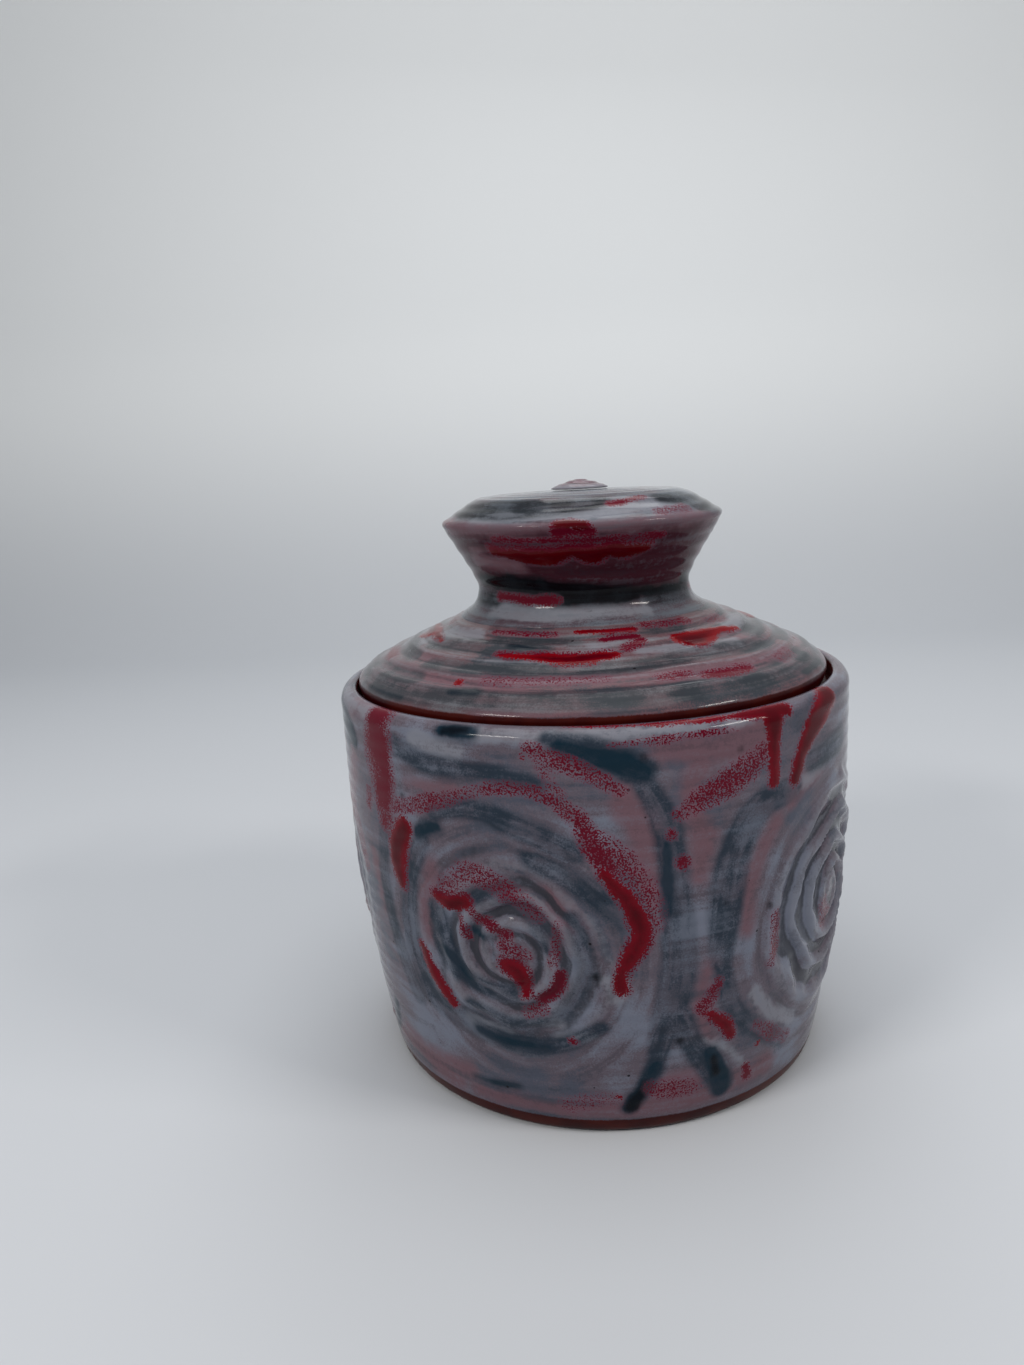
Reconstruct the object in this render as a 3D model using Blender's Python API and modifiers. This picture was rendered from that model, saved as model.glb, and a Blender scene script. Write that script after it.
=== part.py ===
"""Hand-thrown cookie jar: a pot with a ledge inside its rim, a domed lid that sits on the
ledge, a hollow flared knob with a button on top, and spirals of thick slip on the wall.

Metres, +Z up. The origin is the middle of the foot, on the surface that the jar stands on.
"""
import math

import bmesh
import bpy

# Fineness of the turned pieces
JAR_FACETS = 56
LID_FACETS = 48
BUTTON_FACETS = 24

# Space left between two pieces that touch
JOIN_GAP = 0.0003

# Outside of the jar: widest from WALL_FULL_HEIGHT up, drawn in towards the foot
JAR_HEIGHT = 0.1332
WALL_RADIUS = 0.0884
WALL_FULL_HEIGHT = 0.105
WALL_DRAW_IN = 0.0106
WALL_DRAW_POWER = 1.9
FOOT_ROUNDING = 0.0030
FOOT_FACE_WIDTH = 0.0130
FOOT_RECESS = 0.0020

# Inside of the jar
WALL_THICKNESS = 0.0068
FLOOR_THICKNESS = 0.0060
FLOOR_ROUNDING = 0.0140

# Rim, with the ledge (gallery) that carries the lid
RIM_OUTER_ROUNDING = 0.0042
RIM_INNER_ROUNDING = 0.0014
GALLERY_RADIUS = 0.0827
GALLERY_DEPTH = 0.0069
LEDGE_RADIUS = 0.0748
LEDGE_THICKNESS = 0.0035
LEDGE_UNDERSIDE_HEIGHT = 0.0080

# The loose lid sits a little to one side on the ledge, and its knob a little off its middle
LID_SHIFT = -0.0004
KNOB_SHIFT = -0.0008

# Lid, with heights counted from the ring that rests on the ledge
LIP_RADIUS = 0.0816
LIP_HEIGHT = 0.0066
LIP_ROLL_WIDTH = 0.0018
LIP_ROLL_HEIGHT = 0.0036
LIP_UNDERCUT = 0.0026
SEAT_RING_WIDTH = 0.0024
SEAT_INNER_SLOPE = 0.0022
DOME_EDGE_RADIUS = 0.0748
DOME_EDGE_HEIGHT = 0.0135
DOME_TOP_RADIUS = 0.0406
DOME_TOP_HEIGHT = 0.0286
DOME_BULGE = 0.0003
DOME_THICKNESS = 0.0058
DOME_HOLE_RADIUS = 0.0308
DOME_HOLE_SOFTENING = 0.0010

# Knob, with heights counted in the same way
KNOB_FOOT_RADIUS = 0.0396
NECK_RADIUS = 0.0366
NECK_HEIGHT = 0.0360
FLARE_START_RADIUS = 0.0390
FLARE_START_HEIGHT = 0.0430
FLARE_RADIUS = 0.0482
FLARE_HEIGHT = 0.0590
FLARE_ROUNDING = 0.0015
SHOULDER_RADIUS = 0.0366
SHOULDER_HEIGHT = 0.0672
SHOULDER_ROUNDING = 0.0040
SHOULDER_ROUNDING_RISE = 0.0008
KNOB_TOP_HEIGHT = 0.0686
KNOB_THICKNESS = 0.0056

# Button on the knob
BUTTON_RADIUS = 0.0100
BUTTON_HEIGHT = 0.0034
BUTTON_EDGE_HEIGHT = 0.0004
BUTTON_UNDERCUT = 0.0003
BUTTON_SEAT_MARGIN = 0.0020
BUTTON_ARC_STEPS = 6

# Slip spirals, placed by eye around the wall; 0 degrees is the front, -Y, and + is towards +X
SWIRL_ANGLES = (-19, 59, 130, 200, 270)
SWIRL_HEIGHT = 0.0655
SWIRL_TURNS = 4.5
SWIRL_START_RADIUS = 0.0045
SWIRL_END_RADIUS = 0.0430
SWIRL_STRETCH = 1.05
SWIRL_RIDGE_WIDTH = 0.0042
SWIRL_RIDGE_HEIGHT = 0.0012
SWIRL_EDGE_SHARE = 0.35
SWIRL_SEGMENTS = 84
SWIRL_SPACING_POWER = 0.75

# Glazed clay: colour and roughness of each kind of piece
JAR_GLAZE = ((0.235, 0.215, 0.250), 0.22)
LID_GLAZE = ((0.200, 0.190, 0.225), 0.20)
KNOB_GLAZE = ((0.165, 0.085, 0.110), 0.20)
BUTTON_GLAZE = ((0.220, 0.150, 0.165), 0.22)
SLIP_GLAZE = ((0.430, 0.390, 0.420), 0.24)


def clear_scene():
    for obj in list(bpy.data.objects):
        bpy.data.objects.remove(obj, do_unlink=True)


def glaze_material(name, glaze):
    colour, roughness = glaze
    material = bpy.data.materials.new(name)
    material.use_nodes = True
    shader = material.node_tree.nodes["Principled BSDF"]
    shader.inputs["Base Color"].default_value = (*colour, 1.0)
    shader.inputs["Roughness"].default_value = roughness
    shader.inputs["Metallic"].default_value = 0.0
    return material


def arc(centre, radius, start, end, count):
    """Points of an arc in the profile plane; angles in degrees, 0 outwards and 90 upwards."""
    points = []
    for step in range(count + 1):
        angle = math.radians(start + (end - start) * step / count)
        points.append((centre[0] + radius * math.cos(angle), centre[1] + radius * math.sin(angle)))
    return points


def curve_through(points, steps):
    """A smooth curve through a few points (Catmull-Rom), with the given steps for each stretch."""
    padded = [points[0], *points, points[-1]]
    curve = []
    for a, b, c, d in zip(padded, padded[1:], padded[2:], padded[3:]):
        for step in range(steps):
            t = step / steps
            curve.append(tuple(
                0.5 * (2 * q + (r - p) * t + (2 * p - 5 * q + 4 * r - s) * t ** 2
                       + (3 * q - p - 3 * r + s) * t ** 3)
                for p, q, r, s in zip(a, b, c, d)))
    curve.append(points[-1])
    return curve


def even_steps(start, end, count):
    return [start + (end - start) * step / count for step in range(count + 1)]


def wall_radius(height):
    """Outer radius of the bare wall at a height."""
    below = max(0.0, WALL_FULL_HEIGHT - height) / WALL_FULL_HEIGHT
    return WALL_RADIUS - WALL_DRAW_IN * below ** WALL_DRAW_POWER


def turned(name, profile, closed, facets, glaze, collection, parent=None):
    """A turned piece: the profile, in (radius, height), swept once around Z."""
    mesh = bpy.data.meshes.new(name)
    shape = bmesh.new()
    corners = [shape.verts.new((radius, 0.0, height)) for radius, height in profile]
    for first, second in zip(corners, corners[1:]):
        shape.edges.new((first, second))
    if closed:
        shape.edges.new((corners[-1], corners[0]))
    shape.to_mesh(mesh)
    shape.free()
    mesh.materials.append(glaze_material(name + "_glaze", glaze))
    piece = bpy.data.objects.new(name, mesh)
    collection.objects.link(piece)
    piece.parent = parent
    sweep = piece.modifiers.new("Turn", "SCREW")
    sweep.axis = "Z"
    sweep.angle = 2 * math.pi
    sweep.steps = facets
    sweep.render_steps = facets
    sweep.use_merge_vertices = True
    sweep.merge_threshold = 0.00001
    sweep.use_smooth_shade = True
    return piece


def jar_profile():
    """From the middle of the floor up the inside, over the rim and down the outside to the foot."""
    floor_top = FOOT_RECESS + FLOOR_THICKNESS
    corner_height = floor_top + FLOOR_ROUNDING
    corner_radius = wall_radius(corner_height) - WALL_THICKNESS
    gallery_floor = JAR_HEIGHT - GALLERY_DEPTH
    ledge_bottom = gallery_floor - LEDGE_THICKNESS
    wall_top = ledge_bottom - LEDGE_UNDERSIDE_HEIGHT
    inside = [(0.0, floor_top)]
    inside += arc((corner_radius - FLOOR_ROUNDING, corner_height), FLOOR_ROUNDING, -90, -10, 4)
    inside += [(wall_radius(z) - WALL_THICKNESS, z) for z in even_steps(corner_height, wall_top, 5)[1:]]
    ledge = [
        (LEDGE_RADIUS, ledge_bottom),
        (LEDGE_RADIUS, gallery_floor - RIM_INNER_ROUNDING),
        (LEDGE_RADIUS + RIM_INNER_ROUNDING, gallery_floor),
        (GALLERY_RADIUS - RIM_INNER_ROUNDING, gallery_floor),
        (GALLERY_RADIUS, gallery_floor + RIM_INNER_ROUNDING),
    ]
    inner_centre = (GALLERY_RADIUS + RIM_INNER_ROUNDING, JAR_HEIGHT - RIM_INNER_ROUNDING)
    outer_centre = (WALL_RADIUS - RIM_OUTER_ROUNDING, JAR_HEIGHT - RIM_OUTER_ROUNDING)
    rim = arc(inner_centre, RIM_INNER_ROUNDING, 180, 110, 2)
    rim += arc(outer_centre, RIM_OUTER_ROUNDING, 75, 0, 4)
    outside = [(wall_radius(z), z) for z in even_steps(WALL_FULL_HEIGHT, 2 * FOOT_ROUNDING, 8)]
    foot_edge = wall_radius(0.0) - FOOT_ROUNDING
    foot = arc((foot_edge, FOOT_ROUNDING), FOOT_ROUNDING, -15, -90, 3)
    foot += [
        (foot_edge - FOOT_FACE_WIDTH, 0.0),
        (foot_edge - FOOT_FACE_WIDTH - FOOT_RECESS, FOOT_RECESS),
        (0.0, FOOT_RECESS),
    ]
    return inside + ledge + rim + outside + foot


def dome_height(radius):
    """Outer height of the lid's slope: nearly a straight cone, slightly swollen."""
    share = (DOME_EDGE_RADIUS - radius) / (DOME_EDGE_RADIUS - DOME_TOP_RADIUS)
    straight = DOME_EDGE_HEIGHT + (DOME_TOP_HEIGHT - DOME_EDGE_HEIGHT) * share
    return straight + 4 * DOME_BULGE * share * (1 - share)


def dome_profile():
    """Closed ring: down the slope, round the lip, across the seat and back up the underside."""
    collar_top = DOME_TOP_HEIGHT + JOIN_GAP
    slope = [(r, dome_height(r)) for r in even_steps(DOME_TOP_RADIUS, DOME_EDGE_RADIUS, 5)]
    lip = curve_through([
        (DOME_EDGE_RADIUS, DOME_EDGE_HEIGHT),
        (LIP_RADIUS - LIP_ROLL_WIDTH, LIP_HEIGHT + LIP_ROLL_HEIGHT),
        (LIP_RADIUS, LIP_HEIGHT),
        (LIP_RADIUS - LIP_UNDERCUT, 0.0),
    ], 3)[1:]
    seat_inside = LIP_RADIUS - LIP_UNDERCUT - SEAT_RING_WIDTH
    underside = [
        (seat_inside, 0.0),
        (seat_inside - SEAT_INNER_SLOPE, LIP_HEIGHT / 2),
        (DOME_EDGE_RADIUS - DOME_THICKNESS, DOME_EDGE_HEIGHT - DOME_THICKNESS / 2),
    ]
    hole_edge = DOME_HOLE_RADIUS + DOME_HOLE_SOFTENING
    inner_slope = even_steps(DOME_EDGE_RADIUS - DOME_THICKNESS, hole_edge, 4)[1:]
    underside += [(r, dome_height(r) - DOME_THICKNESS) for r in inner_slope]
    hole = [
        (DOME_HOLE_RADIUS, dome_height(hole_edge) - DOME_THICKNESS + DOME_HOLE_SOFTENING),
        (DOME_HOLE_RADIUS, collar_top),
    ]
    return [(DOME_TOP_RADIUS - JOIN_GAP, collar_top)] + slope + lip + underside + hole


def knob_profile():
    """From the middle of the top down the outside to the foot ring, then back up the inside."""
    foot = DOME_TOP_HEIGHT + 2 * JOIN_GAP
    top = [
        (0.0, KNOB_TOP_HEIGHT),
        (BUTTON_RADIUS + BUTTON_SEAT_MARGIN, KNOB_TOP_HEIGHT),
        (SHOULDER_RADIUS - SHOULDER_ROUNDING, SHOULDER_HEIGHT + SHOULDER_ROUNDING_RISE),
        (SHOULDER_RADIUS, SHOULDER_HEIGHT),
    ]
    edge = arc((FLARE_RADIUS - FLARE_ROUNDING, FLARE_HEIGHT), FLARE_ROUNDING, 50, -30, 4)
    neck = curve_through([
        (FLARE_START_RADIUS, FLARE_START_HEIGHT),
        (NECK_RADIUS, NECK_HEIGHT),
        (KNOB_FOOT_RADIUS, foot),
    ], 4)
    inside_top = SHOULDER_HEIGHT - KNOB_THICKNESS
    hollow = [
        (DOME_HOLE_RADIUS, foot),
        (NECK_RADIUS - KNOB_THICKNESS, NECK_HEIGHT),
        (FLARE_START_RADIUS - KNOB_THICKNESS, FLARE_START_HEIGHT),
        (FLARE_RADIUS - FLARE_ROUNDING - KNOB_THICKNESS, FLARE_HEIGHT - FLARE_ROUNDING),
        (SHOULDER_RADIUS - KNOB_THICKNESS / 2, inside_top),
        (0.0, KNOB_TOP_HEIGHT - KNOB_THICKNESS),
    ]
    return top + edge + neck + hollow


def button_profile():
    """A low dome with a flat underside."""
    base = KNOB_TOP_HEIGHT + JOIN_GAP
    dome = [(0.0, base + BUTTON_HEIGHT)]
    for step in range(1, BUTTON_ARC_STEPS + 1):
        share = step / BUTTON_ARC_STEPS
        rise = (BUTTON_HEIGHT - BUTTON_EDGE_HEIGHT) * (1 + math.cos(math.pi * share)) / 2
        dome.append((BUTTON_RADIUS * share, base + BUTTON_EDGE_HEIGHT + rise))
    return dome + [(BUTTON_RADIUS - BUTTON_UNDERCUT, base), (0.0, base)]


def swirl_point(along, across, centre_angle):
    """A point of the ridge's underside; along runs 0 to 1 outwards, across is the offset in metres."""
    spread = SWIRL_END_RADIUS - SWIRL_START_RADIUS
    grown = along ** SWIRL_SPACING_POWER
    turn = 2 * math.pi * SWIRL_TURNS * grown
    reach = SWIRL_START_RADIUS + spread * grown + across
    height = SWIRL_HEIGHT + SWIRL_STRETCH * reach * math.cos(turn)
    angle = centre_angle + reach * math.sin(turn) / WALL_RADIUS
    radius = wall_radius(height) + JOIN_GAP
    return (radius * math.sin(angle), -radius * math.cos(angle), height)


def swirl(name, centre_angle, collection):
    """A spiral ridge of slip that follows the wall: a ribbon, thickest along its middle."""
    shape = bmesh.new()
    bmesh.ops.create_grid(shape, x_segments=SWIRL_SEGMENTS, y_segments=2, size=0.5)
    crest = []
    for vertex in shape.verts:
        along = min(1.0, max(0.0, vertex.co.x + 0.5))
        across = vertex.co.y * SWIRL_RIDGE_WIDTH
        if abs(across) < SWIRL_RIDGE_WIDTH / 4:
            crest.append(vertex.index)
        vertex.co = swirl_point(along, across, centre_angle)
    shape.normal_update()
    if sum(face.normal.dot(face.calc_center_median()) for face in shape.faces) < 0:
        bmesh.ops.reverse_faces(shape, faces=shape.faces)
    mesh = bpy.data.meshes.new(name)
    shape.to_mesh(mesh)
    shape.free()
    mesh.shade_smooth()
    mesh.materials.append(glaze_material(name + "_glaze", SLIP_GLAZE))
    piece = bpy.data.objects.new(name, mesh)
    collection.objects.link(piece)
    ridge = piece.vertex_groups.new(name="crest")
    ridge.add(crest, 1.0, "REPLACE")
    shell = piece.modifiers.new("Slip", "SOLIDIFY")
    shell.thickness = SWIRL_RIDGE_HEIGHT
    shell.offset = 1.0
    shell.vertex_group = ridge.name
    shell.thickness_vertex_group = SWIRL_EDGE_SHARE
    return piece


def main():
    clear_scene()
    collection = bpy.data.collections.new("cookie_jar")
    bpy.context.scene.collection.children.link(collection)
    turned("jar_body", jar_profile(), False, JAR_FACETS, JAR_GLAZE, collection)
    for number, degrees in enumerate(SWIRL_ANGLES, start=1):
        swirl(f"slip_swirl_{number}", math.radians(degrees), collection)
    lid_axis = bpy.data.objects.new("lid_axis", None)
    lid_axis.location = (LID_SHIFT, 0.0, JAR_HEIGHT - GALLERY_DEPTH + JOIN_GAP)
    collection.objects.link(lid_axis)
    turned("lid_dome", dome_profile(), True, LID_FACETS, LID_GLAZE, collection, lid_axis)
    knob = turned("lid_knob", knob_profile(), False, LID_FACETS, KNOB_GLAZE, collection, lid_axis)
    knob.location.x = KNOB_SHIFT
    turned("knob_button", button_profile(), False, BUTTON_FACETS, BUTTON_GLAZE, collection, knob)


main()
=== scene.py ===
"""Looks of the hand-thrown cookie jar: the relief of its clay, its run glazes, the stage, light and camera.

Directions around the jar are degrees, 0 at the front (-Y) and growing towards +X. Travel is the way along
a piece's turned outline in millimetres, counted from the outline's highest point. What is painted on a
piece is worked out as fields, arrays of one row per outline point and one column per direction, which the
glaze reads as vertex attributes.
"""

import math
import random

import bmesh
import bpy
import numpy as np
from mathutils import Matrix, Vector, noise


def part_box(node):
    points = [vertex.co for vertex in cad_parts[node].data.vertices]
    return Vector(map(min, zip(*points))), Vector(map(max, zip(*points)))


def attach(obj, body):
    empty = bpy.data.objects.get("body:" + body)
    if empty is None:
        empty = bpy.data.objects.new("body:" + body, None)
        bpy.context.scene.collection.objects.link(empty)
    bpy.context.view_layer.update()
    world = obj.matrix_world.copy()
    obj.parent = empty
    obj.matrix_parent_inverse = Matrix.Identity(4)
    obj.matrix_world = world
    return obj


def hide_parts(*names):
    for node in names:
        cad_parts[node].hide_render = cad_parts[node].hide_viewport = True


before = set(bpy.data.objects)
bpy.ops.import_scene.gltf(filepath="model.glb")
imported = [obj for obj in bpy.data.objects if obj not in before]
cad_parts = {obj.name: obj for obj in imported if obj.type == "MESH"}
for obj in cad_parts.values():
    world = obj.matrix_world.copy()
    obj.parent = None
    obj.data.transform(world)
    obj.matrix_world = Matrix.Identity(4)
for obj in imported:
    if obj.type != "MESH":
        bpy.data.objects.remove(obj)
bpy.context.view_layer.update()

MM = 0.001
TINY = 1e-9
FAR = -30.0  # mm, the value of a stroke's field where the stroke isn't near
STROKE_MARGIN = 14.0
STROKE_STEPS = 5
SEED_STEPS = (17.3, 5.1, 11.7)


def paint(red, green, blue):
    """A colour in screen values from 0 to 255, as the linear values that shaders take."""
    shares = (red / 255, green / 255, blue / 255)
    return tuple(s / 12.92 if s < 0.04 else ((s + 0.055) / 1.055) ** 2.4 for s in shares)


# Camera, matched to the photograph's view
IMAGE_WIDTH_PX = 1024
FOCAL_LENGTH_PX = 990
SENSOR_WIDTH = 36.0
CAMERA_PLACE = (0.0, -0.3493, 0.2041)
CAMERA_YAW = math.radians(-4.61)
CAMERA_PITCH = math.radians(12.29)
CAMERA_ROLL = math.radians(-3.07)
CAMERA_CLIP = 0.01

# Stage and light
# The one paper is painted lighter from the floor up the wall: painted light on the backdrop
FLOOR_COLOUR = paint(194, 198, 204)
WALL_COLOUR_WITH_PAINTED_LIGHT = paint(244, 247, 249)
FLOOR_TO_PAINTED_LIGHT_WALL = (-0.02, 0.4)
PAPER_ROUGHNESS = 0.9
PAPER_SPECULAR = 0.1
SWEEP_FRONT = -1.0
SWEEP_BACK = 0.75
SWEEP_BEND = 0.45
SWEEP_HEIGHT = 1.9
SWEEP_HALF_WIDTH = 1.1
SWEEP_STEPS = 16
WORLD_COLOUR = (0.92, 0.96, 1.0)
WORLD_STRENGTH = 0.22
WORLD_SEEN = 0.42
LAMP_TARGET = (0, 0, 0.12)
WHITE_LIGHT = (1.0, 1.0, 1.0)
WARM_LIGHT = (1.0, 0.95, 0.89)
# Each lamp's name, place, width and height in metres, power in watts and colour
LAMPS = (
    ("overhead", (0.0, -0.1, 1.5), 1.2, 1.2, 10.0, WHITE_LIGHT),
    ("back_lamp", (0.1, 0.7, 1.1), 0.6, 0.4, 2.0, WHITE_LIGHT),
    ("left_lamp", (-0.75, -0.75, 0.85), 0.4, 0.12, 6.0, WARM_LIGHT),
    ("right_lamp", (1.0, -0.45, 0.85), 0.4, 0.12, 6.0, WARM_LIGHT),
)

# How finely the pieces are meshed: columns around, and mm between rows where a piece shows and elsewhere
JAR_COLUMNS = 420
JAR_ROWS = (1.0, 4.0)
LID_COLUMNS = 360
DOME_ROWS = (0.8, 2.0)
KNOB_ROWS = (0.9, 3.0)
BUTTON_COLUMNS = 96
BUTTON_ROWS = (0.5, 1.0)
PLANE_TOLERANCE = 1e-5
SHARP_TURN = math.radians(25)
SHARP_CUT = 1.0
CORNER_SHARE = 0.25
CORNER_PASSES = 3
STEPS_PER_MM = 20
LEAN_REACH = 0.2
POLE_DISTANCE = 0.01 * MM

# The bake map's strips: where the first starts, how far from it the second starts and how wide both are
MAP_ACROSS = (0.01, 0.98)
MAP_SHOWN = (0.01, 0.44, 0.43)
MAP_HIDDEN = (0.90, 0.05, 0.04)


# Outlines read from the frame

def cad_outline(node):
    """A turned CAD piece's outline as (radius, height) in mm, its axis, and whether it is a closed ring."""
    low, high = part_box(node)
    axis = Vector(((low.x + high.x) / 2, (low.y + high.y) / 2, 0))
    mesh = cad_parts[node].data
    spots = {}
    for vertex in mesh.vertices:
        out, across, up = vertex.co - axis
        if abs(across) < PLANE_TOLERANCE and out > -PLANE_TOLERANCE:
            spots[vertex.index] = (round(abs(out) / MM, 2), round(up / MM, 2))
    beside = {spot: set() for spot in spots.values()}
    for edge in mesh.edges:
        first, second = (spots.get(index) for index in edge.vertices)
        if first and second and first != second:
            beside[first].add(second)
            beside[second].add(first)
    ends = [spot for spot, near in beside.items() if len(near) == 1]
    start = max(ends or beside, key=lambda spot: spot[1])
    outline = [start]
    before = None
    while True:
        onward = [spot for spot in beside[outline[-1]] if spot != before and spot != start]
        if not onward:
            break
        before = outline[-1]
        outline.append(max(onward))
    if ends:
        outline = [spot for spot in outline if spot[0] > 0]
        outline = [(0, outline[0][1]), *outline, (0, outline[-1][1])]
    return np.array(outline), axis, not ends


def soften(outline, closed):
    """Cuts an outline's corners until it runs smoothly. A sharp corner is cut close to its point."""
    for _ in range(CORNER_PASSES):
        back = outline - np.roll(outline, 1, axis=0)
        ahead = np.roll(back, -1, axis=0)
        back_length = np.hypot(*back.T)
        ahead_length = np.hypot(*ahead.T)
        cosine = (back * ahead).sum(axis=1) / (back_length * ahead_length)
        turn = np.arccos(np.clip(cosine, -1, 1))
        limit = np.where(turn > SHARP_TURN, SHARP_CUT, np.inf)
        back_share = np.minimum(CORNER_SHARE, limit / back_length)
        ahead_share = np.minimum(CORNER_SHARE, limit / ahead_length)
        before = outline - back * back_share[:, None]
        after = outline + ahead * ahead_share[:, None]
        if not closed:
            before[0] = outline[0]
            after[-1] = outline[-1]
        outline = np.stack((before, after), axis=1).reshape(-1, 2)
    return outline


class Skin:
    """A turned piece as a grid: a row for each point of its outline and a column for each direction."""

    def __init__(self, node, columns, shown, rows, reshape=None):
        outline, self.axis, self.closed = cad_outline(node)
        if reshape:
            outline = reshape(outline)
        outline = soften(outline, self.closed)
        if self.closed:
            outline = np.vstack((outline, outline[:1]))
        way = np.concatenate(([0], np.cumsum(np.hypot(*np.diff(outline, axis=0).T))))
        top = way[np.argmax(outline[:, 1])]
        steps = np.linspace(0, way[-1], int(way[-1] * STEPS_PER_MM))
        is_shown = (steps - top >= shown[0]) & (steps - top <= shown[1])
        count = np.cumsum(np.where(is_shown, 1 / rows[0], 1 / rows[1])) * (steps[1] - steps[0])
        picks = np.interp(np.linspace(count[0], count[-1], int(count[-1]) + 1), count, steps)
        if self.closed:
            picks = picks[:-1]

        def along(distance, part):
            return np.interp(picks + distance, way, outline[:, part])

        out_step = along(LEAN_REACH, 0) - along(-LEAN_REACH, 0)
        up_step = along(LEAN_REACH, 1) - along(-LEAN_REACH, 1)
        length = np.hypot(out_step, up_step)
        self.radius = along(0, 0)[:, None]
        self.height = along(0, 1)[:, None]
        self.travel = (picks - top)[:, None]
        self.lean_out = (-up_step / length)[:, None]
        self.lean_up = (out_step / length)[:, None]
        self.angle = (np.arange(columns) * 360 / columns - 90)[None, :]
        self.sine = np.sin(np.radians(self.angle))
        self.cosine = np.cos(np.radians(self.angle))
        self.shape = (len(picks), columns)
        self.shown = shown
        self.mm_per_degree = np.radians(1) * self.radius
        self.rest = self.points(np.zeros(self.shape)) / MM

    def points(self, relief):
        """The places of the grid's points in metres, with the relief in mm standing out from the outline."""
        out = self.radius + relief * self.lean_out
        up = self.height + relief * self.lean_up
        x = self.axis.x / MM + out * self.sine
        y = self.axis.y / MM - out * self.cosine
        return np.stack((x, y, up), axis=-1) * MM

    def side(self, angle):
        """How far each column lies from a direction, in degrees, to the right as seen from outside."""
        return (self.angle - angle + 180) % 360 - 180

    def vectors(self, first, second, third):
        """Three fields as one field of vectors."""
        full = np.zeros(self.shape)
        return np.stack((first + full, second + full, third + full), axis=-1)

    def lumps(self, size, seed):
        """Smooth noise over the piece, about -1 to 1, with lumps of that size in mm."""
        return smooth_noise(self.rest / size, seed)

    def rough(self, *layers):
        """Layers of lumps added up, each given by its height, its lumps' size in mm and a seed."""
        return sum(height * self.lumps(size, seed) for height, size, seed in layers)

    def rings(self, spacing, wander, spiral=0):
        """Waves of -1 to 1 down the outline, that many mm apart, which wander and can wind as a spiral."""
        count = self.travel / spacing - spiral * self.angle / 360
        return np.sin(math.tau * count + self.rough(*wander))

    def level_streaks(self, width, length):
        """Where to read noise for streaks that run around the piece, of that width and length in mm."""
        reach = self.radius.max() / length
        return self.vectors(self.travel / width, reach * self.sine, reach * self.cosine)

    def stroke(self, points):
        """A brush stroke through (degrees, travel, half width): the distance in mm to its edge, positive
        inside it, and the distance to the right of its middle line. Both are worked out near it only."""
        line = smooth_line(points)
        middle = line[:, 0].mean()
        rows = np.abs(self.travel[:, 0] - line[:, 1].mean()) < np.ptp(line[:, 1]) / 2 + STROKE_MARGIN
        spare = STROKE_MARGIN / self.mm_per_degree[rows].min()
        columns = np.abs(self.side(middle)[0]) < np.ptp(line[:, 0]) + spare
        window = np.ix_(rows, columns)
        angle = (self.side(middle) + middle)[:, columns]
        travel = self.travel[rows]
        scale = self.mm_per_degree[rows]
        near = np.full(np.broadcast_shapes(angle.shape, travel.shape), FAR)
        offset = np.zeros(near.shape)
        for begin, end in zip(line[:-1], line[1:]):
            across = (angle - begin[0]) * scale
            along = travel - begin[1]
            reach_across = (end[0] - begin[0]) * scale
            reach_along = end[1] - begin[1]
            square = reach_across ** 2 + reach_along ** 2 + TINY
            share = np.clip((across * reach_across + along * reach_along) / square, 0, 1)
            gap = np.hypot(across - share * reach_across, along - share * reach_along)
            inside = begin[2] + share * (end[2] - begin[2]) - gap
            closer = inside > near
            near = np.where(closer, inside, near)
            side = (along * reach_across - across * reach_along) / np.sqrt(square)
            offset = np.where(closer, side, offset)
        nearest = np.full(self.shape, FAR)
        lane = np.zeros(self.shape)
        nearest[window] = near
        lane[window] = offset
        return nearest, lane


def smooth_line(points):
    """A smooth line through a stroke's points, as an array of closer points."""
    stops = np.array(points, dtype=float)
    if len(stops) == 1:
        return np.repeat(stops, 2, axis=0)
    padded = np.vstack((2 * stops[0] - stops[1], stops, 2 * stops[-1] - stops[-2]))
    line = [stops[:1]]
    share = np.linspace(0, 1, STROKE_STEPS + 1)[1:, None]
    for before, begin, end, after in zip(padded, padded[1:], padded[2:], padded[3:]):
        bend = 2 * before - 5 * begin + 4 * end - after
        twist = 3 * (begin - end) + after - before
        line.append(begin + share * ((end - before) + share * (bend + share * twist)) / 2)
    line = np.vstack(line)
    line[:, 2] = np.maximum(line[:, 2], stops[:, 2].min())
    return line


def smooth_noise(places, seed):
    """Noise of about -1 to 1 at each place of an array of points."""
    flat = places.reshape(-1, 3)
    shift = Vector([seed * step for step in SEED_STEPS])
    values = [noise.noise(Vector(place) + shift) for place in flat.tolist()]
    return np.array(values).reshape(places.shape[:-1])


def ease(values, low, high):
    """0 below low, 1 above high, with a smooth change between."""
    share = np.clip((values - low) / (high - low), 0, 1)
    return share * share * (3 - 2 * share)


def span(values, rise, fall):
    """1 between a rise and a fall, which are the (low, high) of two smooth changes, and 0 outside them."""
    return ease(values, *rise) * (1 - ease(values, *fall))


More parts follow.
